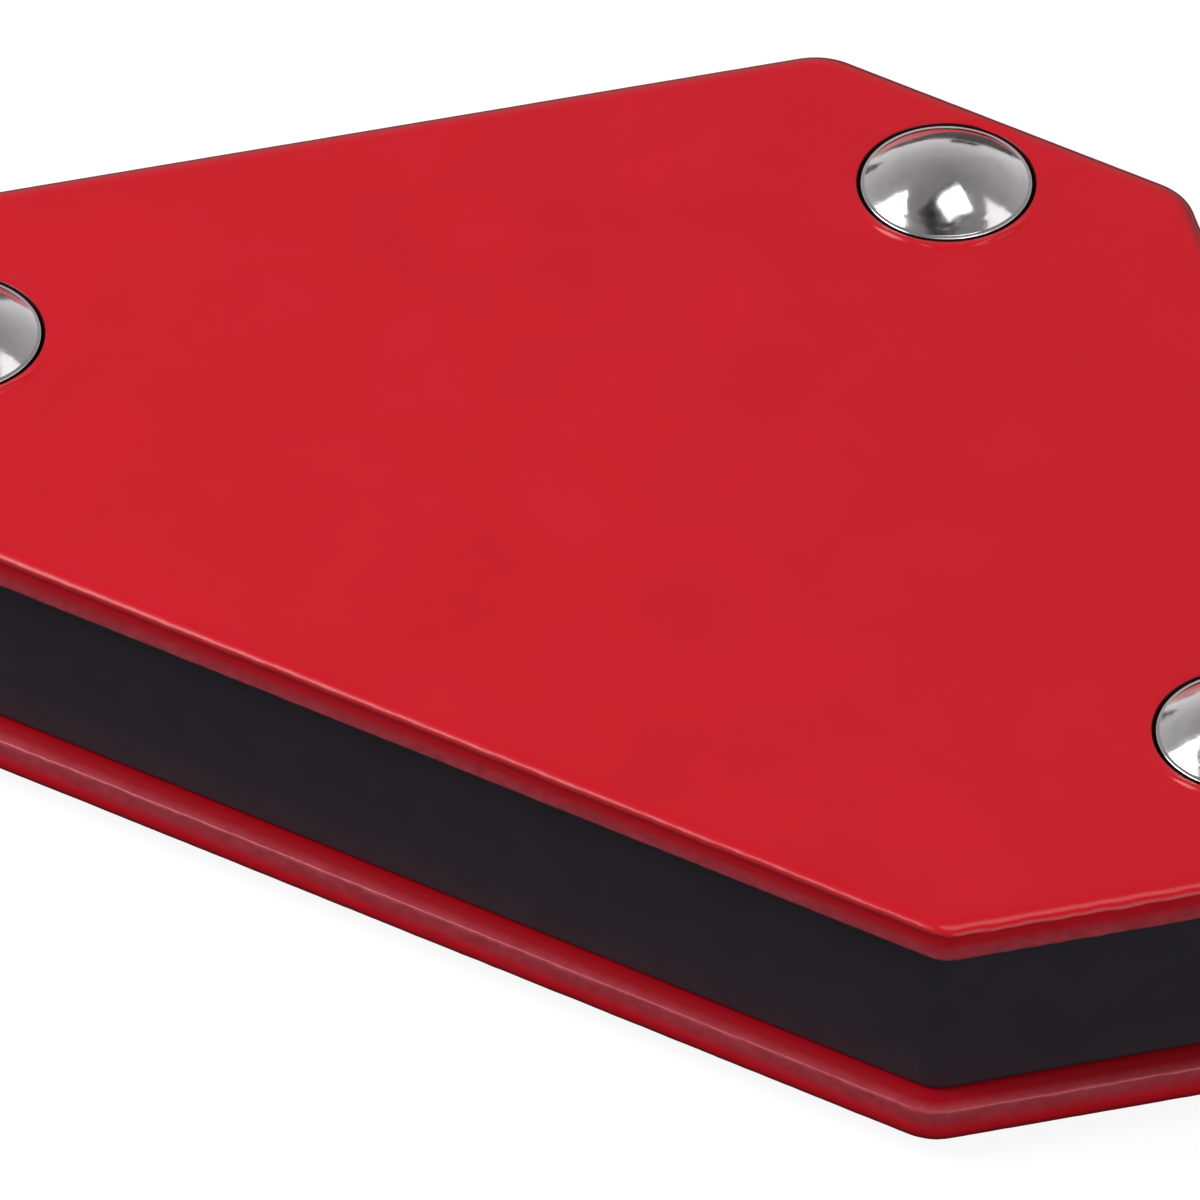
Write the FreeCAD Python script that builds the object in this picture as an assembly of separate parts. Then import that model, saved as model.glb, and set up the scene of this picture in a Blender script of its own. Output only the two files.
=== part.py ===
"""Small arrow-shaped magnetic welding holder: two red steel pole plates riveted over a black spacer.

The holder lies flat. X runs along the long base edge, Y points at the short apex edge and Z is up.
The origin is the middle of the outline, at the lowest point of the rivets' formed tails.
All sizes are in millimetres. Each sub-part is written to parts/NODE.step.
"""

import FreeCAD, Part

import math
import os

# Outline: a right-angled triangle with its three corners cut off, so that the angles are 45, 90 and 135 degrees.
WIDTH = 83.0  # over the two rounded square corners
DEPTH = 49.0  # from the base to the apex edge
APEX_FLAT = 19.0  # the short edge opposite the base, between its sharp corners
APEX_X = 1.3  # its middle, so that the left leg is a little longer than the right one
CORNER_RADIUS = 3.0

# Stack, from the outer face of the lower plate to the outer face of the upper one.
PLATE_THICKNESS = 1.9
GAP = 9.4  # between the plates, filled by the spacer and the magnets
PLATE_OUTER_ROUND = 0.45  # rolled edge of the blanked plate, on its outer face
PLATE_INNER_ROUND = 0.12

# Rivets: solid, domed head on the upper plate and a formed button tail under the lower one.
RIVET_PLACES = {
    "left": (-32.2, -12.6),
    "right": (31.1, -6.1),
    "apex": (1.2, 19.3),
}
SHANK_RADIUS = 2.2
HEAD_RADIUS = 3.92
HEAD_PROUD = 1.4
TAIL_RADIUS = 3.6
TAIL_PROUD = 1.1
SEAT_RADIUS = 4.14  # the dimple that a head beds into
SEAT_DEPTH = 0.3
HOLE_RADIUS = 2.25

# Steel sleeves that hold the plates apart while the rivets are set.
SLEEVE_OUTER_RADIUS = 3.3
SLEEVE_INNER_RADIUS = 2.3

# Ferrite blocks, magnetised through their thickness.
MAGNET_SIDE = 23.5
MAGNET_CLEARANCE = 0.1  # to the pocket all round
MAGNET_CHAMFER = 0.4
MAGNET_THICKNESS = GAP - 0.1
MAGNET_RIB = 1.6  # of the spacer, between the two blocks

# Moulded spacer frame.
SPACER_INSET = 1.4  # behind the edges of the plates
SPACER_CORNER_RADIUS = 1.8
SPACER_ROUND = 0.35  # of its outer edges, where they meet the plates
SPACER_WALL = 1.8
SPACER_CORE_RADIUS = 1.0  # in the corners of the cored-out spaces
BOSS_RADIUS = 5.0
BOSS_CLEARANCE = 0.1  # round a sleeve

HALF_SQRT = math.sqrt(0.5)
# The square corners stand further out before they are rounded.
SQUARE_X = WIDTH / 2 + CORNER_RADIUS * (1 / HALF_SQRT - 1)
SQUARE_RIGHT_Y = DEPTH / 2 - (SQUARE_X - APEX_X - APEX_FLAT / 2)
SQUARE_LEFT_Y = DEPTH / 2 - (SQUARE_X + APEX_X - APEX_FLAT / 2)
# The direction that each edge faces, in degrees, and its distance from the origin, clockwise from the apex.
EDGES = [
    (90, DEPTH / 2),
    (45, (APEX_FLAT / 2 + APEX_X + DEPTH / 2) * HALF_SQRT),
    (-45, (SQUARE_X - SQUARE_RIGHT_Y) * HALF_SQRT),
    (-90, DEPTH / 2),
    (-135, (SQUARE_X - SQUARE_LEFT_Y) * HALF_SQRT),
    (135, (APEX_FLAT / 2 - APEX_X + DEPTH / 2) * HALF_SQRT),
]

LOWER_OUTER_Z = TAIL_PROUD
LOWER_INNER_Z = LOWER_OUTER_Z + PLATE_THICKNESS
UPPER_INNER_Z = LOWER_INNER_Z + GAP
UPPER_OUTER_Z = UPPER_INNER_Z + PLATE_THICKNESS

MAGNET_SIDES = {"left": -1, "right": 1}
POCKET_SIDE = MAGNET_SIDE + 2 * MAGNET_CLEARANCE
MAGNET_X = (MAGNET_RIB + POCKET_SIDE) / 2
MAGNET_Y = -DEPTH / 2 + SPACER_INSET + SPACER_WALL + POCKET_SIDE / 2
TOLERANCE = 1e-6


def point(x, y, z=0.0):
    return FreeCAD.Vector(x, y, z)


def rounded_polygon(corners, radius, z):
    """A closed wire through the corners, each turned with an arc."""
    edges = []
    count = len(corners)
    arcs = []
    for i in range(count):
        corner = corners[i]
        back = (corners[i - 1] - corner).normalize()
        ahead = (corners[(i + 1) % count] - corner).normalize()
        half_angle = back.getAngle(ahead) / 2
        reach = radius / math.tan(half_angle)
        middle = (back + ahead).normalize()
        nearest = radius / math.sin(half_angle) - radius
        arcs.append((corner + back * reach, corner + middle * nearest, corner + ahead * reach))
    lift = point(0, 0, z)
    for i in range(count):
        start, through, end = [p + lift for p in arcs[i]]
        following = arcs[(i + 1) % count][0] + lift
        edges.append(Part.Arc(start, through, end).toShape())
        edges.append(Part.LineSegment(end, following).toShape())
    return Part.Wire(edges)


def outline_corners(inset):
    """The corners of the holder's outline, moved in by inset."""
    corners = []
    for i in range(len(EDGES)):
        (angle_a, reach_a), (angle_b, reach_b) = EDGES[i - 1], EDGES[i]
        a, b = math.radians(angle_a), math.radians(angle_b)
        da, db = reach_a - inset, reach_b - inset
        across = math.sin(b - a)
        x = (da * math.sin(b) - db * math.sin(a)) / across
        y = (db * math.cos(a) - da * math.cos(b)) / across
        corners.append(point(x, y))
    return corners


def prism(wire, height):
    return Part.Face(wire).extrude(point(0, 0, height))


def outline_prism(inset, corner_radius, z, height):
    return prism(rounded_polygon(outline_corners(inset), corner_radius, z), height)


def edges_at(shape, z):
    """The edges of shape that lie flat at height z."""
    return [e for e in shape.Edges if all(abs(v.Z - z) < TOLERANCE for v in e.Vertexes)]


def upright(radius, x, y, z, height):
    return Part.makeCylinder(radius, height, point(x, y, z))


def pole_plate(inner_z, outer_z):
    """A blanked steel plate with a rolled outer edge, and a dimpled hole for each rivet."""
    low_z = min(inner_z, outer_z)
    plate = outline_prism(0.0, CORNER_RADIUS, low_z, PLATE_THICKNESS)
    plate = plate.makeFillet(PLATE_OUTER_ROUND, edges_at(plate, outer_z))
    plate = plate.makeFillet(PLATE_INNER_ROUND, edges_at(plate, inner_z))
    seat_z = outer_z - SEAT_DEPTH if outer_z > inner_z else outer_z
    for x, y in RIVET_PLACES.values():
        plate = plate.cut(upright(HOLE_RADIUS, x, y, low_z, PLATE_THICKNESS))
        plate = plate.cut(upright(SEAT_RADIUS, x, y, seat_z, SEAT_DEPTH))
    return plate


def dome_profile(radius, base_z, rim_z, crown_z):
    """Half the section of a button head from its axis at base_z round to its crown: a short rim, then an arc."""
    rise = crown_z - rim_z
    arc_radius = (radius**2 + rise**2) / (2 * rise)
    centre_z = crown_z - arc_radius
    half = math.asin(radius / abs(arc_radius)) / 2
    through = point(abs(arc_radius) * math.sin(half), 0, centre_z + arc_radius * math.cos(half))
    return [
        Part.LineSegment(point(SHANK_RADIUS, 0, base_z), point(radius, 0, base_z)).toShape(),
        Part.LineSegment(point(radius, 0, base_z), point(radius, 0, rim_z)).toShape(),
        Part.Arc(point(radius, 0, rim_z), through, point(0, 0, crown_z)).toShape(),
    ]


def rivet(x, y):
    """A solid rivet: domed head above, shank, and a formed tail below."""
    head_seat = UPPER_OUTER_Z - SEAT_DEPTH
    tail_seat = LOWER_OUTER_Z + SEAT_DEPTH
    head = dome_profile(HEAD_RADIUS, head_seat, UPPER_OUTER_Z, UPPER_OUTER_Z + HEAD_PROUD)
    tail = dome_profile(TAIL_RADIUS, tail_seat, LOWER_OUTER_Z, LOWER_OUTER_Z - TAIL_PROUD)
    shank = Part.LineSegment(point(SHANK_RADIUS, 0, tail_seat), point(SHANK_RADIUS, 0, head_seat))
    crown = point(0, 0, UPPER_OUTER_Z + HEAD_PROUD)
    axis = Part.LineSegment(crown, point(0, 0, LOWER_OUTER_Z - TAIL_PROUD))
    section = Part.Wire(Part.sortEdges([*head, shank.toShape(), *tail, axis.toShape()])[0])
    solid = Part.Face(section).revolve(point(0, 0), point(0, 0, 1), 360)
    solid.translate(point(x, y))
    return solid


def sleeve(x, y):
    tube = upright(SLEEVE_OUTER_RADIUS, x, y, LOWER_INNER_Z, GAP)
    return tube.cut(upright(SLEEVE_INNER_RADIUS, x, y, LOWER_INNER_Z, GAP))


def magnet_block(side):
    """A sintered ferrite block with small chamfers all round, resting on the lower plate."""
    corner = point(side * MAGNET_X - MAGNET_SIDE / 2, MAGNET_Y - MAGNET_SIDE / 2, LOWER_INNER_Z)
    block = Part.makeBox(MAGNET_SIDE, MAGNET_SIDE, MAGNET_THICKNESS, corner)
    return block.makeChamfer(MAGNET_CHAMFER, block.Edges)


def magnet_pocket(side, wall=0.0):
    """The space for one block, or with a wall round it."""
    size = POCKET_SIDE + 2 * wall
    corner = point(side * MAGNET_X - size / 2, MAGNET_Y - size / 2, LOWER_INNER_Z)
    return Part.makeBox(size, size, GAP, corner)


def spacer_frame():
    """One moulding: an outer wall, two magnet pockets, three rivet bosses and a rib to the apex boss."""
    body = outline_prism(SPACER_INSET, SPACER_CORNER_RADIUS, LOWER_INNER_Z, GAP)
    rims = edges_at(body, LOWER_INNER_Z) + edges_at(body, UPPER_INNER_Z)
    body = body.makeFillet(SPACER_ROUND, rims)
    cavity = outline_prism(SPACER_INSET + SPACER_WALL, SPACER_CORE_RADIUS, LOWER_INNER_Z, GAP)
    for side in MAGNET_SIDES.values():
        cavity = cavity.cut(magnet_pocket(side, SPACER_WALL))
    for x, y in RIVET_PLACES.values():
        cavity = cavity.cut(upright(BOSS_RADIUS, x, y, LOWER_INNER_Z, GAP))
    rib_start = MAGNET_Y + POCKET_SIDE / 2
    rib_x = RIVET_PLACES["apex"][0] - MAGNET_RIB / 2
    rib = Part.makeBox(MAGNET_RIB, DEPTH / 2 - rib_start, GAP, point(rib_x, rib_start, LOWER_INNER_Z))
    body = body.cut(cavity.cut(rib))
    for side in MAGNET_SIDES.values():
        body = body.cut(magnet_pocket(side))
    for x, y in RIVET_PLACES.values():
        hole = upright(SLEEVE_OUTER_RADIUS + BOSS_CLEARANCE, x, y, LOWER_INNER_Z, GAP)
        body = body.cut(hole)
    return body


def single_solid(name, shape):
    """The shape as one tidy solid, or an error that names the part."""
    solids = shape.removeSplitter().Solids
    if len(solids) != 1 or not solids[0].isValid():
        raise ValueError(f"{name} should be one valid solid, and has {len(solids)}")
    return solids[0]


def build():
    parts = {
        "upper_pole_plate": pole_plate(UPPER_INNER_Z, UPPER_OUTER_Z),
        "lower_pole_plate": pole_plate(LOWER_INNER_Z, LOWER_OUTER_Z),
        "spacer_frame": spacer_frame(),
    }
    for name, side in MAGNET_SIDES.items():
        parts[f"magnet_block_{name}"] = magnet_block(side)
    for name, (x, y) in RIVET_PLACES.items():
        parts[f"rivet_{name}"] = rivet(x, y)
        parts[f"spacer_sleeve_{name}"] = sleeve(x, y)
    return parts


def main():
    os.makedirs("parts", exist_ok=True)
    for name, shape in build().items():
        solid = single_solid(name, shape)
        solid.exportStep(f"parts/{name}.step")
        print(f"{name}: {solid.Volume:.1f} mm3")


main()
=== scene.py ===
"""Looks for the small arrow-shaped welding magnet: painted plates, bright rivets, black spacer.

Everything is in metres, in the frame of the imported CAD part. Lengths below are in millimetres times MM.
"""

import math

import bpy
from mathutils import Matrix, Vector, noise
from mathutils.geometry import delaunay_2d_cdt


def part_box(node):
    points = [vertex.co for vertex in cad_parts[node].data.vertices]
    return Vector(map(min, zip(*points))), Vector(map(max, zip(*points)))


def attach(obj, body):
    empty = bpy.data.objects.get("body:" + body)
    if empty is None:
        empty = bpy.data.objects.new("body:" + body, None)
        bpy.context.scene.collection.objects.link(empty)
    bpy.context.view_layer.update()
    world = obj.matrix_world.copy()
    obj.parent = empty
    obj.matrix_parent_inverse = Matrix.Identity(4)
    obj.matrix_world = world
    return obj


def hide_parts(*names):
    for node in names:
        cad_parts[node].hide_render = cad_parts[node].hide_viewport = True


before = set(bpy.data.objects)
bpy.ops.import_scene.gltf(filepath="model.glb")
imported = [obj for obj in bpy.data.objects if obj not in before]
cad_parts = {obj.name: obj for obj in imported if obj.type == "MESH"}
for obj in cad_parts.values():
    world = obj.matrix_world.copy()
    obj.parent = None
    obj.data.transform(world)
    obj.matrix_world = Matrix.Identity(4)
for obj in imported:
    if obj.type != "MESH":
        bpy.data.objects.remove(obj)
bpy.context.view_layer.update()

MM = 0.001
RIVETS = ("left", "right", "apex")

# The plates' outline, as in the CAD part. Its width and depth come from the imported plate.
APEX_FLAT = 19.0 * MM
APEX_X = 1.3 * MM
CORNER_RADIUS = 3.0 * MM
# Corner radii as punched, clockwise from the apex edge's left end, and how far the right end stands out.
UPPER_RADII = [CORNER_RADIUS, CORNER_RADIUS, 3.9 * MM, 1.7 * MM, 2.4 * MM, CORNER_RADIUS]
LOWER_RADII = [CORNER_RADIUS, CORNER_RADIUS, CORNER_RADIUS, 2.5 * MM, 2.5 * MM, CORNER_RADIUS]
UPPER_END_PUSH = 0.42 * MM
OUTLINE_STEP = 0.18 * MM  # between columns of vertices round the edge
ARC_STEPS = 16
SAME_PLACE = 1e-9  # points nearer than this are one point
HOLE_SHARE = 0.9995  # of a hole's radius: a triangle centred nearer than this to its middle is in the hole

# Section of a plate's edge. The punch rolls the outer edge over, and tears the inner half of the wall.
ROLL_WIDTH = 0.66 * MM
ROLL_HEIGHT = 0.42 * MM
ROLL_STEPS = 12
WALL_STEPS = 3
TEAR_START = 0.42  # of the thickness, from the outer face
TEAR_TAPER = 0.05 * MM
TEAR_STEPS = 10
TAPER_POWER = 0.5  # how soon the torn part draws in, and how soon it looks torn; less is sooner
TEAR_POWER = 0.8
INNER_ROUND = 0.16 * MM
INNER_STEPS = 5
INNER_TEAR = 0.8  # how torn the inner rounding is, from 0 to 1
FACE_INSET = 0.76 * MM  # where the edge meets the flat face

# How the edge changes round the outline. The end is the upper plate's right end; the far sides are the apex
# edge and the legs.
END_FOCUS = 8  # how quickly the end's changes fade round its corners
FAR_GAIN = 1.4  # how fully the legs count as far sides
END_ROLL = 0.44  # how much wider the roll is at the end
FAR_ROLL = 0.53  # and along the far sides
FAR_CALM = 0.75  # how much smoother the far sides are

# Irregularities of the edge: waves per millimetre, offset of the noise, height in millimetres.
WOBBLES = [(0.22, (0, 0, 0), 0.020), (0.9, (7, 3, 1), 0.018), (2.1, (1, 9, 4), 0.020)]
TORN_WOBBLE = (1.7, (5, 5, 5), 0.045)
LOWER_PLATE_LAYER = 40.0  # a place in the noise well away from the upper plate's

# Painted shade on the edge, from 0 to 1: a dark band down the lower roll, starting sooner along the far
# sides and weaker at the lit end, and over the inner faces where the other plate shades them. Depths are
# shares of the roll's height.
SHADE_START = 0.42
SHADE_START_FAR = 0.37  # how much sooner it starts along the far sides
SHADE_RAMP = 0.22  # from its start to full painted shade
SHADE_FADE = 0.5  # from the foot of the roll to no painted shade
END_LESS_SHADE = 0.65  # how much less painted shade the lit end has
INNER_SHADE = 0.65  # painted shade all over a plate's inner face, where the other plate shades it

# A dimple and its raised lip of paint, round each rivet.
SEAT_RADIUS = 4.14 * MM
SEAT_DEPTH = 0.3 * MM
SEAT_ROUND = 0.06 * MM
SEAT_ROUND_STEPS = 3
SEAT_FOOT_INSET = 0.07 * MM
HOLE_RADIUS = 2.25 * MM
LIP_WIDTH = 0.55 * MM
LIP_HEIGHT = 0.16 * MM
LIP_STEPS = 8
LIP_BASE = 0.06  # of its height, all the way round
LIP_VARIATION = 0.08
LIP_WAVES = 1.6
LIP_SEED_STEP = 3.1
LIP_SWELLS = [(-89, 20, 1.0), (-27, 18, 0.9)]  # direction and half-width in degrees, height
ROUND_SEGMENTS = 144

# Rivets.
SHANK_RADIUS = 2.2 * MM
HEAD_RADIUS = 3.92 * MM
TAIL_RADIUS = 3.6 * MM
RIM_ROUND = 0.06 * MM
RIM_STEPS = 4
BRIM_WIDTH = 0.12 * MM  # a narrow flat round the head, inside its rim
BRIM_RISE = 0.03 * MM
BRIM_EDGE = 0.3  # of the brim's width, where it starts to turn up
CROWN_POWER = 1.8  # 2 is a parabola; less is flatter at the rim
CROWN_STEPS = 34

# Unevenness of a rivet: waves per millimetre, offset of the noise, height in millimetres.
BROAD_DENT = (0.42, (0, 0, 0), 0.030)
SMALL_DENT = (0.9, (3, 1, 2), 0.009)
TAIL_DENT = (2.2, (0, 0, 0), 0.012)
TAIL_GAIN = 1.4  # how much deeper the other dents are on the tail
DENT_REACH = 0.6  # of the head's radius, within which the broad dents fade towards the axis
DENT_FADE = 8  # how close to the rim the dents keep their depth
RIM_WAVES = 1.5
RIM_WOBBLE = 0.02
WOBBLE_START = 1.5  # of the shank's radius, beyond which the outline wobbles
FIRST_TURN = 1.3  # each rivet's dents are turned to a different place
TURN_STEP = 2.1

# The camera: its direction from the object, its roll, its distance, and the point it looks at.
CAMERA_AZIMUTH = math.radians(30.24)
CAMERA_ELEVATION = math.radians(42.0)
CAMERA_ROLL = math.radians(0.324)
CAMERA_DISTANCE = 1284.4 * MM
CAMERA_AIM = Vector((-5.33, -0.59, 1.1)) * MM
CAMERA_LENS = 847.5  # mm, for a sensor of the width below
SENSOR_WIDTH = 36.0  # mm
CLIP_START = 0.01
CLIP_END = 100.0

# Paint, as linear colours.
PAINT_DEEP = (0.520, 0.0040, 0.0125)
PAINT_LIGHT = (0.550, 0.0050, 0.0150)
# The dark red below, and its share, are the painted shade on the roll and on the inner faces.
PAINT_SHADE = (0.20, 0.0030, 0.0080)
PAINT_SHADE_SHARE = 0.8
TORN_DEEP = (0.33, 0.034, 0.050)
TORN_LIGHT = (0.42, 0.066, 0.086)
# Painted shade in the dimples round the rivets: their walls and floors are painted a near-black red.
GROOVE_SHADE = (0.04, 0.002, 0.004)

# The studio: half the floor's width in metres, then linear tones.
FLOOR_HALF = 6.0
FLOOR_GLOW = 0.90
FLOOR_MATT = 0.14
FLOOR_BOUNCE = (0.09, 0.08, 0.08)
BACKDROP = 0.93
ROOM_LEVELS = [(0.0, 0.75), (0.10, 0.62), (0.35, 0.42), (0.66, 0.29), (1.0, 0.18)]


# ---------------------------------------------------------------- meshes


def new_mesh(name, verts, faces, material, smooth=True):
    """An object from lists of points and faces, with one material."""
    mesh = bpy.data.meshes.new(name)
    mesh.from_pydata([tuple(v) for v in verts], [], faces)
    mesh.validate()
    obj = bpy.data.objects.new(name, mesh)
    bpy.context.scene.collection.objects.link(obj)
    mesh.materials.append(material)
    mesh.polygons.foreach_set("use_smooth", [smooth] * len(mesh.polygons))
    return obj


def outline_corners(width, depth, end_push):
    """The six sharp corners of an outline, clockwise from the apex edge's left end."""
    square_x = width / 2 + CORNER_RADIUS * (math.sqrt(2) - 1)
    right_y = depth / 2 - (square_x - APEX_X - APEX_FLAT / 2)
    left_y = depth / 2 - (square_x + APEX_X - APEX_FLAT / 2)
    root = math.sqrt(0.5)
    edges = [
        (135, (APEX_FLAT / 2 - APEX_X + depth / 2) * root),
        (90, depth / 2),
        (45, (APEX_FLAT / 2 + APEX_X + depth / 2) * root),
        (-45, (square_x - right_y) * root + end_push),
        (-90, depth / 2),
        (-135, (square_x - left_y) * root),
    ]
    lines = []
    for facing, distance in edges:
        angle = math.radians(facing)
        lines.append((Vector((math.cos(angle), math.sin(angle))), distance))
    corners = []
    for k in range(len(lines)):
        n, d = lines[k]
        m, e = lines[(k + 1) % len(lines)]
        cross = n.x * m.y - n.y * m.x
        corners.append(Vector(((d * m.y - e * n.y) / cross, (e * n.x - d * m.x) / cross)))
    return corners


def outline_points(corners, radii):
    """Points round an outline with rounded corners, each with its outward normal."""
    points = []
    count = len(corners)
    for i, corner in enumerate(corners):
        back = (corners[i - 1] - corner).normalized()
        ahead = (corners[(i + 1) % count] - corner).normalized()
        half_angle = back.angle(ahead) / 2
        centre = corner + (back + ahead).normalized() * (radii[i] / math.sin(half_angle))
        first = Vector((back.y, -back.x))
        if first.dot(corner - centre) < 0:
            first = -first
        turn = math.pi - 2 * half_angle
        for k in range(ARC_STEPS + 1):
            normal = Matrix.Rotation(-turn * k / ARC_STEPS, 2) @ first
            points.append((centre + normal * radii[i], normal))
        following = corners[(i + 1) % count]
        beyond = (corners[(i + 2) % count] - following).normalized()
        next_half = (-ahead).angle(beyond) / 2
        start = points[-1][0]
        end = following - ahead * (radii[(i + 1) % count] / math.tan(next_half))
        steps = max(2, round((end - start).length / OUTLINE_STEP))
        for k in range(1, steps):
            points.append((start.lerp(end, k / steps), points[-1][1]))
    return points


def edge_section(thickness):
    """Rings down a plate's edge, from face to face.

    Each is (inset, depth below the outer face, roughness weight, tear weight).
    """
    rings = [(FACE_INSET, 0.0, 0.0, 0.0)]
    for k in range(ROLL_STEPS + 1):
        angle = math.pi / 2 * k / ROLL_STEPS
        inset = ROLL_WIDTH * (1 - math.sin(angle))
        depth = ROLL_HEIGHT * (1 - math.cos(angle))
        rings.append((inset, depth, k / ROLL_STEPS, 0.0))
    tear = thickness * TEAR_START
    for k in range(1, WALL_STEPS + 1):
        rings.append((0.0, ROLL_HEIGHT + (tear - ROLL_HEIGHT) * k / WALL_STEPS, 1.0, 0.0))
    wall_end = thickness - INNER_ROUND
    for k in range(1, TEAR_STEPS + 1):
        t = k / TEAR_STEPS
        depth = tear + (wall_end - tear) * t
        rings.append((TEAR_TAPER * t**TAPER_POWER, depth, 1.0, t**TEAR_POWER))
    for k in range(1, INNER_STEPS + 1):
        angle = math.pi / 2 * k / INNER_STEPS
        inset = TEAR_TAPER + INNER_ROUND * (1 - math.cos(angle))
        depth = wall_end + INNER_ROUND * math.sin(angle)
        rings.append((inset, depth, 1 - k / INNER_STEPS, INNER_TEAR))
    rings.append((FACE_INSET, thickness, 0.0, 0.0))
    return rings


def seat_section(thickness):
    """Rings from the face over the lip, into the dimple and down the rivet hole.

    Each is (radius, depth below the outer face).
    """
    rings = [(SEAT_RADIUS + LIP_WIDTH, 0.0)]
    for k in range(1, LIP_STEPS):
        t = k / LIP_STEPS
        rings.append((SEAT_RADIUS + LIP_WIDTH * (1 - t), -LIP_HEIGHT * math.sin(math.pi * t) ** 2))
    for k in range(SEAT_ROUND_STEPS + 1):
        angle = math.pi / 2 * k / SEAT_ROUND_STEPS
        rings.append((SEAT_RADIUS - SEAT_ROUND * math.sin(angle), SEAT_ROUND * (1 - math.cos(angle))))
    rings.append((SEAT_RADIUS - SEAT_FOOT_INSET, SEAT_DEPTH))
    rings.append((HOLE_RADIUS, SEAT_DEPTH))
    rings.append((HOLE_RADIUS, thickness))
    return rings


def add_ring(verts, points):
    """Adds a ring of points, and returns their numbers."""
    start = len(verts)
    verts.extend(points)
    return list(range(start, start + len(points)))


def bridge(faces, outer, inner):
    """Quads between two rings with the same number of points."""
    count = len(outer)
    for k in range(count):
        following = (k + 1) % count
        faces.append((outer[k], outer[following], inner[following], inner[k]))


def ring_centre(verts, ring):
    """The centre and radius of a round hole."""
    points = [Vector((verts[i][0], verts[i][1])) for i in ring]
    centre = sum(points, Vector((0, 0))) / len(points)
    return centre, (points[0] - centre).length


def fill_face(verts, faces, outer, holes, z, upwards):
    """A flat face of triangles at height z, between an outer ring and round holes."""
    rings = [outer, *holes]
    known = [i for ring in rings for i in ring]
    places = [Vector((verts[i][0], verts[i][1])) for i in known]
    segments = []
    start = 0
    for ring in rings:
        segments += [(start + k, start + (k + 1) % len(ring)) for k in range(len(ring))]
        start += len(ring)
    flat, _, triangles, origins, *_ = delaunay_2d_cdt(places, segments, [], 0, SAME_PLACE)
    lookup = []
    for place, origin in zip(flat, origins):
        if origin:
            lookup.append(known[origin[0]])
        else:
            lookup.append(len(verts))
            verts.append(Vector((place.x, place.y, z)))
    edge = [places[k] for k in range(len(outer))]
    rounds = [ring_centre(verts, ring) for ring in holes]
    for triangle in triangles:
        middle = sum((flat[k] for k in triangle), Vector((0, 0))) / len(triangle)
        if any((middle - centre).length < radius * HOLE_SHARE for centre, radius in rounds):
            continue
        if not inside(edge, middle):
            continue
        face = [lookup[k] for k in triangle]
        a, b, c = (Vector(verts[i]) for i in face[:3])
        if ((b - a).cross(c - a).z > 0) != upwards:
            face.reverse()
        faces.append(tuple(face))


def inside(polygon, place):
    """Whether a place lies inside a closed polygon."""
    crossed = False
    for k in range(len(polygon)):
        a, b = polygon[k - 1], polygon[k]
        if (a.y > place.y) != (b.y > place.y):
            if place.x < (b.x - a.x) * (place.y - a.y) / (b.y - a.y) + a.x:
                crossed = not crossed
    return crossed


def wobble(place, recipe):
    """Noise from a recipe of waves per unit, offset and height."""
    waves, offset, height = recipe
    return noise.noise(place * waves + Vector(offset)) * height


def edge_wobble(place, layer, weight, tear):
    """How far a punched and painted edge stands out from its true line at a place."""
    here = Vector((place.x / MM, place.y / MM, layer))
    total = sum(wobble(here, recipe) for recipe in WOBBLES)
    return (total + tear * wobble(here, TORN_WOBBLE)) * weight * MM


def painted_shade(depth, thickness, at_far, at_end):
    """How much painted shade darkens the paint at a depth on the edge: most on the lower half of the roll,
    and all over the inner face.
    """
    if depth >= thickness:
        return INNER_SHADE
    if depth > ROLL_HEIGHT:
        shaded = max(0.0, 1 - (depth - ROLL_HEIGHT) / (SHADE_FADE * ROLL_HEIGHT))
    else:
        start = SHADE_START - SHADE_START_FAR * at_far
        shaded = max(0.0, min(1.0, (depth / ROLL_HEIGHT - start) / SHADE_RAMP))
    return shaded * (1 - END_LESS_SHADE * at_end)


def plate_edge(verts, layers, track, thickness, outer_z, outer_up):
    """Adds the points down a plate's edge, and returns its rings, from the outer face."""
    sense = -1 if outer_up else 1
    plate_layer = 0.0 if outer_up else LOWER_PLATE_LAYER
    rings = []
    for inset, depth, weight, tear in edge_section(thickness):
        points = []
        for place, normal in track:
            facing_end = (normal.x - normal.y) * math.sqrt(0.5)
            at_end = max(0.0, facing_end) ** END_FOCUS if outer_up else 0.0
            at_far = max(0.0, min(1.0, normal.y * FAR_GAIN)) ** 2
            wide = 1 + (END_ROLL * at_end + FAR_ROLL * at_far) * (1 - tear)
            rough = weight * (1 + at_end) * (1 - FAR_CALM * at_far)
            out = edge_wobble(place, plate_layer + depth / MM, rough, tear) - inset * wide
            spot = place + normal * out
            points.append(Vector((spot.x, spot.y, outer_z + sense * depth)))
            layers["tear"].append(tear)
            layers["groove"].append(0.0)
            # The roll layer holds the painted shade for this ring.
            layers["roll"].append(painted_shade(depth, thickness, at_far, at_end))
        rings.append(add_ring(verts, points))
    return rings


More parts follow.
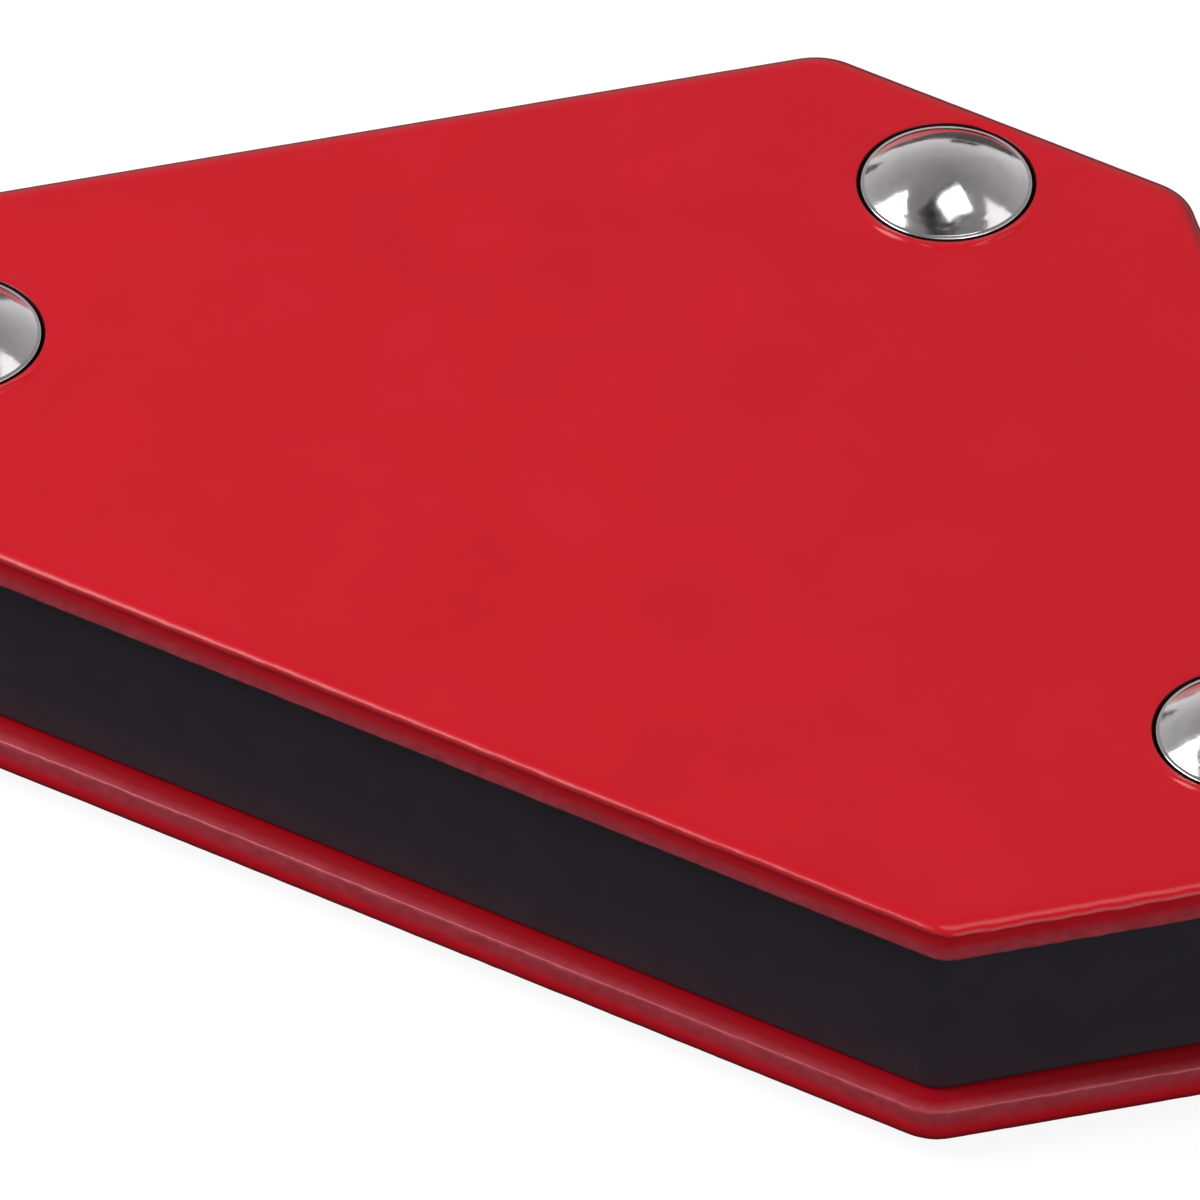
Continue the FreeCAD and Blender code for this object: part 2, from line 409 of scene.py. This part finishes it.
def plate_seat(verts, layers, rivet_name, thickness, outer_z, outer_up):
    """Adds the points of one rivet's dimple and hole, and returns its rings, from the outer face."""
    sense = -1 if outer_up else 1
    centre = box_centre(f"rivet_{rivet_name}")
    rings = []
    for radius, depth in seat_section(thickness):
        points = []
        for k in range(ROUND_SEGMENTS):
            angle = 2 * math.pi * k / ROUND_SEGMENTS
            x = centre.x + radius * math.cos(angle)
            y = centre.y + radius * math.sin(angle)
            swell = lip_swell(angle, depth, rivet_name)
            points.append(Vector((x, y, outer_z + sense * depth * swell)))
            layers["tear"].append(0.0)
            # The groove layer marks the dimple and hole, which get painted shade.
            layers["groove"].append(1.0 if depth > 0 else 0.0)
            # The inner face's painted shade, on the ring at the bottom of the hole.
            layers["roll"].append(INNER_SHADE if depth == thickness else 0.0)
        rings.append(add_ring(verts, points))
    return rings


def add_layers(obj, layers):
    """Stores one value per point in a mesh for each named layer, and 0 for points added since."""
    for label, values in layers.items():
        layer = obj.data.attributes.new(label, "FLOAT", "POINT")
        missing = len(obj.data.vertices) - len(values)
        layer.data.foreach_set("value", values + [0.0] * missing)


def plate(name, node, outer_up, material):
    """A painted pole plate. outer_up says that its rolled edge and its dimples face up."""
    low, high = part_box(node)
    thickness = high[2] - low[2]
    outer_z = high[2] if outer_up else low[2]
    inner_z = outer_z + (-thickness if outer_up else thickness)
    push = UPPER_END_PUSH if outer_up else 0.0
    radii = UPPER_RADII if outer_up else LOWER_RADII
    corners = outline_corners(high[0] - low[0], high[1] - low[1], push)
    track = outline_points(corners, radii)
    verts = []
    faces = []
    layers = {"tear": [], "groove": [], "roll": []}
    rings = plate_edge(verts, layers, track, thickness, outer_z, outer_up)
    for ring, following in zip(rings, rings[1:]):
        bridge(faces, ring, following)
    outer_holes = []
    inner_holes = []
    for rivet_name in RIVETS:
        seats = plate_seat(verts, layers, rivet_name, thickness, outer_z, outer_up)
        for ring, following in zip(seats, seats[1:]):
            bridge(faces, following, ring)
        outer_holes.append(seats[0])
        inner_holes.append(seats[-1])
    curved = len(faces)
    fill_face(verts, faces, rings[0], outer_holes, outer_z, outer_up)
    fill_face(verts, faces, rings[-1], inner_holes, inner_z, not outer_up)
    obj = new_mesh(name, verts, faces, material)
    face_outwards(obj)
    for polygon in obj.data.polygons[curved:]:
        polygon.use_smooth = False
    add_layers(obj, layers)
    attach(obj, "root")
    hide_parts(node)
    return obj


def lip_swell(angle, depth, rivet_name):
    """The lip's share of its full height at a place round a rivet, where the paint has drawn up unevenly."""
    if depth >= 0:
        return 1.0
    seed = RIVETS.index(rivet_name) * LIP_SEED_STEP
    here = Vector((math.cos(angle) * LIP_WAVES, math.sin(angle) * LIP_WAVES, seed))
    height = LIP_BASE + LIP_VARIATION * noise.noise(here)
    for facing, spread, rise in LIP_SWELLS:
        away = (math.degrees(angle) - facing + 180) % 360 - 180
        height += rise * math.exp(-((away / spread) ** 2))
    return height


def face_outwards(obj):
    """Turns all the faces of a closed mesh outwards."""
    bpy.ops.object.select_all(action="DESELECT")
    bpy.context.view_layer.objects.active = obj
    obj.select_set(True)
    bpy.ops.object.mode_set(mode="EDIT")
    bpy.ops.mesh.select_all(action="SELECT")
    bpy.ops.mesh.normals_make_consistent(inside=False)
    bpy.ops.object.mode_set(mode="OBJECT")


def box_centre(node):
    """The middle of a node's box."""
    low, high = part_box(node)
    return (Vector(low) + Vector(high)) / 2


def head_section(radius, seat_z, face_z, crown_z, sense):
    """(radius, height) from the shank out over a rivet's head to its axis: seat, rim, brim and crown."""
    rim_z = face_z - sense * RIM_ROUND
    rings = [
        (SHANK_RADIUS, seat_z),
        (radius - RIM_ROUND, seat_z),
        (radius, seat_z + sense * RIM_ROUND),
        (radius, rim_z),
    ]
    for k in range(1, RIM_STEPS + 1):
        angle = math.pi / 2 * k / RIM_STEPS
        fall = RIM_ROUND * (1 - math.cos(angle))
        rings.append((radius - fall, rim_z + sense * RIM_ROUND * math.sin(angle)))
    brim = radius - RIM_ROUND - BRIM_WIDTH
    brim_z = face_z + sense * BRIM_RISE
    rings.append((brim + BRIM_EDGE * BRIM_WIDTH, brim_z - sense * BRIM_EDGE * BRIM_RISE))
    rise = abs(crown_z - brim_z)
    for k in range(CROWN_STEPS):
        r = brim * math.cos(math.pi / 2 * k / CROWN_STEPS)
        rings.append((r, brim_z + sense * rise * (1 - (r / brim) ** CROWN_POWER)))
    return rings


def dented(radius, z, angle, turn, formed):
    """A point of a rivet's surface, moved a few hundredths of a millimetre off its true round."""
    here = Vector((radius * math.cos(angle + turn), radius * math.sin(angle + turn), turn)) / MM
    reach = min(1.0, radius / (DENT_REACH * HEAD_RADIUS))
    crown_weight = 1.0 - max(0.0, radius / HEAD_RADIUS) ** DENT_FADE
    dent = wobble(here, BROAD_DENT) * reach + wobble(here, SMALL_DENT)
    if formed:
        dent = dent * TAIL_GAIN + wobble(here, TAIL_DENT)
    round_place = Vector((math.cos(angle) * RIM_WAVES, math.sin(angle) * RIM_WAVES, turn))
    out = noise.noise(round_place) * RIM_WOBBLE * MM
    on_head = radius > SHANK_RADIUS * WOBBLE_START
    sense = -1.0 if formed else 1.0
    return radius + (out if on_head else 0.0), z - sense * abs(dent) * crown_weight * MM


def rivet_end(verts, faces, centre, section, crown, turn, formed):
    """Adds a rivet's head or formed tail, from the shank to the crown, and returns its ring at the shank."""
    rings = []
    for radius, z in section:
        points = []
        for k in range(ROUND_SEGMENTS):
            angle = 2 * math.pi * k / ROUND_SEGMENTS
            r, height = dented(radius, z, angle, turn, formed)
            points.append(Vector((centre.x + r * math.cos(angle), centre.y + r * math.sin(angle), height)))
        rings.append(add_ring(verts, points))
    tip = len(verts)
    verts.append(Vector((centre.x, centre.y, crown)))
    for ring, following in zip(rings, rings[1:]):
        bridge(faces, ring, following)
    last = rings[-1]
    for k in range(ROUND_SEGMENTS):
        faces.append((last[k], last[(k + 1) % ROUND_SEGMENTS], tip))
    return rings[0]


def rivet(name, material, turn):
    """A solid rivet, with the faint flats and swirls that the setting tool leaves on its head and tail."""
    node = f"rivet_{name}"
    low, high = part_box(node)
    centre = box_centre(node)
    upper_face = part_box("upper_pole_plate")[1][2]
    lower_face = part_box("lower_pole_plate")[0][2]
    head = head_section(HEAD_RADIUS, upper_face - SEAT_DEPTH, upper_face, high[2], 1)
    tail = head_section(TAIL_RADIUS, lower_face + SEAT_DEPTH, lower_face, low[2], -1)
    verts = []
    faces = []
    top = rivet_end(verts, faces, centre, head, high[2], turn, False)
    bottom = rivet_end(verts, faces, centre, tail, low[2], turn, True)
    bridge(faces, top, bottom)
    obj = new_mesh(f"rivet_{name}_polished", verts, faces, material)
    face_outwards(obj)
    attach(obj, "root")
    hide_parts(node)
    return obj


# ---------------------------------------------------------------- materials


class Nodes:
    """A short way to write a node material."""

    def __init__(self, name):
        self.material = bpy.data.materials.new(name)
        self.material.use_nodes = True
        self.tree = self.material.node_tree
        self.shader = self.tree.nodes["Principled BSDF"]
        self.place = self.tree.nodes.new("ShaderNodeTexCoord").outputs["Object"]

    def add(self, kind, **settings):
        """A new node with some of its settings."""
        node = self.tree.nodes.new(kind)
        for key, value in settings.items():
            setattr(node, key, value)
        return node

    def link(self, output, target):
        """Joins an output to a socket."""
        self.tree.links.new(output, target)

    def fill(self, socket, value):
        """Gives a socket a number, a colour or another node's output."""
        if isinstance(value, (int, float)):
            socket.default_value = value
        elif isinstance(value, tuple):
            socket.default_value = (*value, 1.0)
        else:
            self.link(value, socket)

    def attribute(self, label):
        """A value stored in the mesh."""
        return self.add("ShaderNodeAttribute", attribute_name=label).outputs["Fac"]

    def noise(self, size, detail=2.0, roughness=0.5, distortion=0.0):
        """Noise of a size given in millimetres from one blotch to the next."""
        node = self.add("ShaderNodeTexNoise")
        node.inputs["Scale"].default_value = 1.0 / (size * MM)
        node.inputs["Detail"].default_value = detail
        node.inputs["Roughness"].default_value = roughness
        node.inputs["Distortion"].default_value = distortion
        self.link(self.place, node.inputs["Vector"])
        return node.outputs["Fac"]

    def ramp(self, value, stops):
        """A colour ramp from (position, colour) stops; a single number stands for a grey."""
        node = self.add("ShaderNodeValToRGB")
        elements = node.color_ramp.elements
        while len(elements) < len(stops):
            elements.new(0.5)
        for element, (position, colour) in zip(elements, stops):
            element.position = position
            rgb = colour if isinstance(colour, tuple) else (colour,) * 3
            element.color = (*rgb, 1.0)
        self.link(value, node.inputs["Fac"])
        return node.outputs["Color"]

    def mix(self, factor, a, b):
        """A colour between a and b."""
        node = self.add("ShaderNodeMix", data_type="RGBA")
        for number, value in ((0, factor), (6, a), (7, b)):
            self.fill(node.inputs[number], value)
        return node.outputs[2]

    def calculate(self, operation, a, b=0.0):
        """A sum, product or the like of two numbers."""
        node = self.add("ShaderNodeMath", operation=operation)
        self.fill(node.inputs[0], a)
        self.fill(node.inputs[1], b)
        return node.outputs[0]

    def bump(self, height, distance, strength=1.0, normal=None):
        """A normal bent by a height, whose full range is a distance in millimetres."""
        node = self.add("ShaderNodeBump")
        node.inputs["Strength"].default_value = strength
        node.inputs["Distance"].default_value = distance * MM
        self.link(height, node.inputs["Height"])
        if normal is not None:
            self.link(normal, node.inputs["Normal"])
        return node.outputs["Normal"]

    def set(self, **values):
        """Fills the shader's sockets, named with underscores for spaces."""
        for key, value in values.items():
            self.fill(self.shader.inputs[key.replace("_", " ")], value)


def red_paint():
    """Satin red enamel: faintly cloudy, with orange peel, painted shade over the roll, the inner face and
    the rivet dimples, and dull on the torn half.
    """
    n = Nodes("red_paint")
    cloud = n.ramp(n.noise(7.0, 3.0, 0.55), [(0.3, PAINT_DEEP), (0.7, PAINT_LIGHT)])
    tear = n.attribute("tear")
    groove = n.attribute("groove")
    roll = n.attribute("roll")
    # Painted shade: the roll layer darkens the paint over the roll and the inner face.
    shaded = n.mix(n.calculate("MULTIPLY", roll, PAINT_SHADE_SHARE), cloud, PAINT_SHADE)
    grain = n.ramp(n.noise(0.7, 4.0, 0.65), [(0.3, TORN_DEEP), (0.75, TORN_LIGHT)])
    # Painted shade: the dimples round the rivets are painted dark.
    n.set(Base_Color=n.mix(groove, n.mix(tear, shaded, grain), GROOVE_SHADE))
    flat = n.ramp(n.noise(2.0, 3.0, 0.6), [(0.3, 0.30), (0.7, 0.36)])
    rough = n.ramp(n.noise(0.4, 3.0, 0.6), [(0.3, 0.50), (0.7, 0.68)])
    n.set(Roughness=n.mix(tear, flat, rough))
    peel = n.bump(n.noise(0.9, 2.0, 0.5), 0.006, 0.45)
    edge = n.calculate("MULTIPLY", n.noise(0.45, 3.0, 0.6), n.calculate("MAXIMUM", roll, tear))
    n.set(Normal=n.bump(edge, 0.018, 0.5, peel))
    n.set(Coat_Weight=0.6, Coat_Roughness=0.20, Specular_IOR_Level=0.06)
    return n.material


def black_plastic():
    """Satin black moulding: a very fine spark texture, with slightly shinier and duller patches."""
    n = Nodes("black_plastic")
    dark = (0.0185, 0.0180, 0.0245)
    light = (0.0225, 0.0215, 0.0285)
    n.set(Base_Color=n.ramp(n.noise(3.0, 3.0, 0.6), [(0.3, dark), (0.7, light)]))
    n.set(Roughness=n.ramp(n.noise(1.6, 4.0, 0.6), [(0.3, 0.42), (0.7, 0.52)]))
    n.set(Normal=n.bump(n.noise(0.16, 2.0, 0.6), 0.006, 0.35), Specular_IOR_Level=0.45)
    return n.material


def rivet_nickel():
    """Bright plated steel, rolled smooth by the setting tool, with a few hair-fine marks."""
    n = Nodes("rivet_nickel")
    dark = (0.82, 0.785, 0.80)
    light = (0.90, 0.87, 0.88)
    n.set(Base_Color=n.ramp(n.noise(1.4, 3.0, 0.6), [(0.3, dark), (0.7, light)]))
    n.set(Roughness=n.ramp(n.noise(0.7, 4.0, 0.65), [(0.35, 0.09), (0.75, 0.17)]), Metallic=1.0)
    n.set(Normal=n.bump(n.noise(0.35, 3.0, 0.6, 1.5), 0.004, 0.5))
    return n.material


def ferrite():
    """Sintered ferrite: dark grey, dull and finely granular."""
    n = Nodes("ferrite")
    dark = (0.030, 0.030, 0.033)
    light = (0.075, 0.073, 0.074)
    n.set(Base_Color=n.ramp(n.noise(0.5, 5.0, 0.7), [(0.3, dark), (0.75, light)]))
    n.set(Roughness=n.ramp(n.noise(0.8, 3.0, 0.6), [(0.3, 0.62), (0.7, 0.82)]))
    n.set(Normal=n.bump(n.noise(0.22, 4.0, 0.7), 0.02, 0.6))
    return n.material


def zinc_steel():
    """Zinc-plated tube: grey, half matt and finely mottled."""
    n = Nodes("zinc_steel")
    dark = (0.50, 0.52, 0.55)
    light = (0.66, 0.66, 0.64)
    n.set(Base_Color=n.ramp(n.noise(1.2, 3.0, 0.6), [(0.3, dark), (0.7, light)]))
    n.set(Roughness=n.ramp(n.noise(0.6, 3.0, 0.6), [(0.3, 0.30), (0.7, 0.46)]), Metallic=1.0)
    n.set(Normal=n.bump(n.noise(0.3, 3.0, 0.6), 0.008, 0.5))
    return n.material


# ---------------------------------------------------------------- studio


def direction(azimuth, elevation):
    """The direction from the object towards a camera or light. Azimuth 0 is the -Y side, 90 the +X side."""
    flat = math.cos(elevation)
    return Vector((math.sin(azimuth) * flat, -math.cos(azimuth) * flat, math.sin(elevation)))


def place_camera():
    """The camera, a long way off with a long lens, turned slightly about its line of sight."""
    data = bpy.data.cameras.new("camera")
    data.lens = CAMERA_LENS
    data.sensor_width = SENSOR_WIDTH
    data.clip_start = CLIP_START
    data.clip_end = CLIP_END
    camera = bpy.data.objects.new("camera", data)
    bpy.context.scene.collection.objects.link(camera)
    back = direction(CAMERA_AZIMUTH, CAMERA_ELEVATION)
    right = Vector((math.cos(CAMERA_AZIMUTH), math.sin(CAMERA_AZIMUTH), 0))
    up = back.cross(right)
    rolled_right = right * math.cos(CAMERA_ROLL) + up * math.sin(CAMERA_ROLL)
    rolled_up = up * math.cos(CAMERA_ROLL) - right * math.sin(CAMERA_ROLL)
    turn = Matrix((rolled_right, rolled_up, back)).transposed().to_4x4()
    camera.matrix_world = Matrix.Translation(CAMERA_AIM + back * CAMERA_DISTANCE) @ turn
    bpy.context.scene.camera = camera


def face_object(obj, towards, distance, roll):
    """Puts a lamp or card in a direction from the object, turned to face it."""
    towards = Vector(towards).normalized()
    obj.location = towards * distance
    spin = Matrix.Rotation(math.radians(roll), 3, "Z").to_quaternion()
    obj.rotation_euler = (towards.to_track_quat("Z", "Y") @ spin).to_euler()
    obj.visible_camera = False


def softbox(name, towards, distance, width, height, radiance, roll=0.0):
    """A rectangular lamp of a given brightness that no camera sees."""
    data = bpy.data.lights.new(name, "AREA")
    data.shape = "RECTANGLE"
    data.size = width
    data.size_y = height
    data.energy = radiance * math.pi * width * height
    lamp = bpy.data.objects.new(name, data)
    bpy.context.scene.collection.objects.link(lamp)
    face_object(lamp, towards, distance, roll)


def rectangle(half_width, half_height):
    """The corners of a flat rectangle about the origin."""
    w, h = half_width, half_height
    return [(-w, -h, 0), (w, -h, 0), (w, h, 0), (-w, h, 0)]


def bare_tree(owner):
    """The emptied node tree of a material or world."""
    owner.use_nodes = True
    owner.node_tree.nodes.clear()
    return owner.node_tree


def coloured(tree, kind, colour):
    """A shader node with a colour, or a grey from a single number."""
    node = tree.nodes.new(kind)
    rgb = colour if isinstance(colour, tuple) else (colour,) * 3
    node.inputs["Color"].default_value = (*rgb, 1)
    return node


def seen_or_lit(tree, seen, otherwise, output_kind):
    """Shows one shader to the camera, and another to every other ray."""
    mix = tree.nodes.new("ShaderNodeMixShader")
    path = tree.nodes.new("ShaderNodeLightPath")
    output = tree.nodes.new(output_kind)
    tree.links.new(path.outputs["Is Camera Ray"], mix.inputs[0])
    tree.links.new(otherwise.outputs[0], mix.inputs[1])
    tree.links.new(seen.outputs[0], mix.inputs[2])
    tree.links.new(mix.outputs[0], output.inputs["Surface"])


def card(name, towards, distance, width, height, brightness, roll=0.0):
    """A grey card that only shows in reflections."""
    material = bpy.data.materials.new(name)
    tree = bare_tree(material)
    glow = coloured(tree, "ShaderNodeEmission", brightness)
    output = tree.nodes.new("ShaderNodeOutputMaterial")
    tree.links.new(glow.outputs[0], output.inputs["Surface"])
    obj = new_mesh(name, rectangle(width / 2, height / 2), [(0, 1, 2, 3)], material, smooth=False)
    face_object(obj, towards, distance, roll)
    obj.visible_diffuse = False
    obj.visible_shadow = False
    obj.visible_transmission = False


def floor():
    """A pale floor that bounces less light than it seems to, so that the sides keep their contrast."""
    material = bpy.data.materials.new("floor")
    tree = bare_tree(material)
    pale = tree.nodes.new("ShaderNodeAddShader")
    glow = coloured(tree, "ShaderNodeEmission", FLOOR_GLOW)
    matt = coloured(tree, "ShaderNodeBsdfDiffuse", FLOOR_MATT)
    tree.links.new(glow.outputs[0], pale.inputs[0])
    tree.links.new(matt.outputs[0], pale.inputs[1])
    bounced = coloured(tree, "ShaderNodeBsdfDiffuse", FLOOR_BOUNCE)
    seen_or_lit(tree, pale, bounced, "ShaderNodeOutputMaterial")
    corners = rectangle(FLOOR_HALF, FLOOR_HALF)
    new_mesh("floor", corners, [(0, 1, 2, 3)], material, smooth=False)


def studio_world():
    """A grey room, darker overhead. The camera sees it as pale as the floor."""
    world = bpy.data.worlds.new("studio")
    bpy.context.scene.world = world
    tree = bare_tree(world)
    place = tree.nodes.new("ShaderNodeTexCoord")
    split = tree.nodes.new("ShaderNodeSeparateXYZ")
    tree.links.new(place.outputs["Generated"], split.inputs[0])
    ramp = tree.nodes.new("ShaderNodeValToRGB")
    tree.links.new(split.outputs["Z"], ramp.inputs["Fac"])
    elements = ramp.color_ramp.elements
    while len(elements) < len(ROOM_LEVELS):
        elements.new(0.5)
    for element, (position, grey) in zip(elements, ROOM_LEVELS):
        element.position = position
        element.color = (grey, grey, grey, 1)
    room = tree.nodes.new("ShaderNodeBackground")
    tree.links.new(ramp.outputs["Color"], room.inputs["Color"])
    pale = coloured(tree, "ShaderNodeBackground", BACKDROP)
    seen_or_lit(tree, pale, room, "ShaderNodeOutputWorld")


def light_studio():
    """Four soft lamps, and dark cards that the rivets and the plate's gloss reflect."""
    studio_world()
    floor()
    softbox("overhead_box", (0.08, 0.10, 0.99), 0.7, 0.20, 0.28, 3.0, roll=10)
    softbox("left_box", (-0.60, -0.36, 0.73), 0.46, 0.34, 0.20, 7.6)
    softbox("front_right_box", (0.80, -0.33, 0.45), 0.75, 0.5, 0.62, 1.75)
    softbox("right_box", (0.64, 0.30, 0.71), 0.9, 0.55, 0.45, 0.8)
    card("dark_overhead", (0.03, -0.03, 0.999), 0.72, 0.40, 0.34, 0.01, roll=20)
    card("dark_left", (-0.87, 0.47, 0.15), 0.8, 0.15, 0.10, 0.06)
    card("dark_behind", (-0.37, 0.92, 0.08), 0.8, 0.14, 0.08, 0.01)


# ---------------------------------------------------------------- assembly


def finish_nodes(material, *nodes):
    """Gives carried-over CAD nodes a material."""
    for node in nodes:
        for material_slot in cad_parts[node].material_slots:
            material_slot.material = material


def build():
    """The whole visual model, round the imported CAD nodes."""
    red = red_paint()
    nickel = rivet_nickel()
    plate("upper_plate_painted", "upper_pole_plate", True, red)
    plate("lower_plate_painted", "lower_pole_plate", False, red)
    for number, name in enumerate(RIVETS):
        rivet(name, nickel, FIRST_TURN + TURN_STEP * number)
    finish_nodes(black_plastic(), "spacer_frame")
    finish_nodes(ferrite(), "magnet_block_left", "magnet_block_right")
    finish_nodes(zinc_steel(), *(f"spacer_sleeve_{name}" for name in RIVETS))


build()
place_camera()
light_studio()
bpy.context.scene.view_settings.view_transform = "Standard"
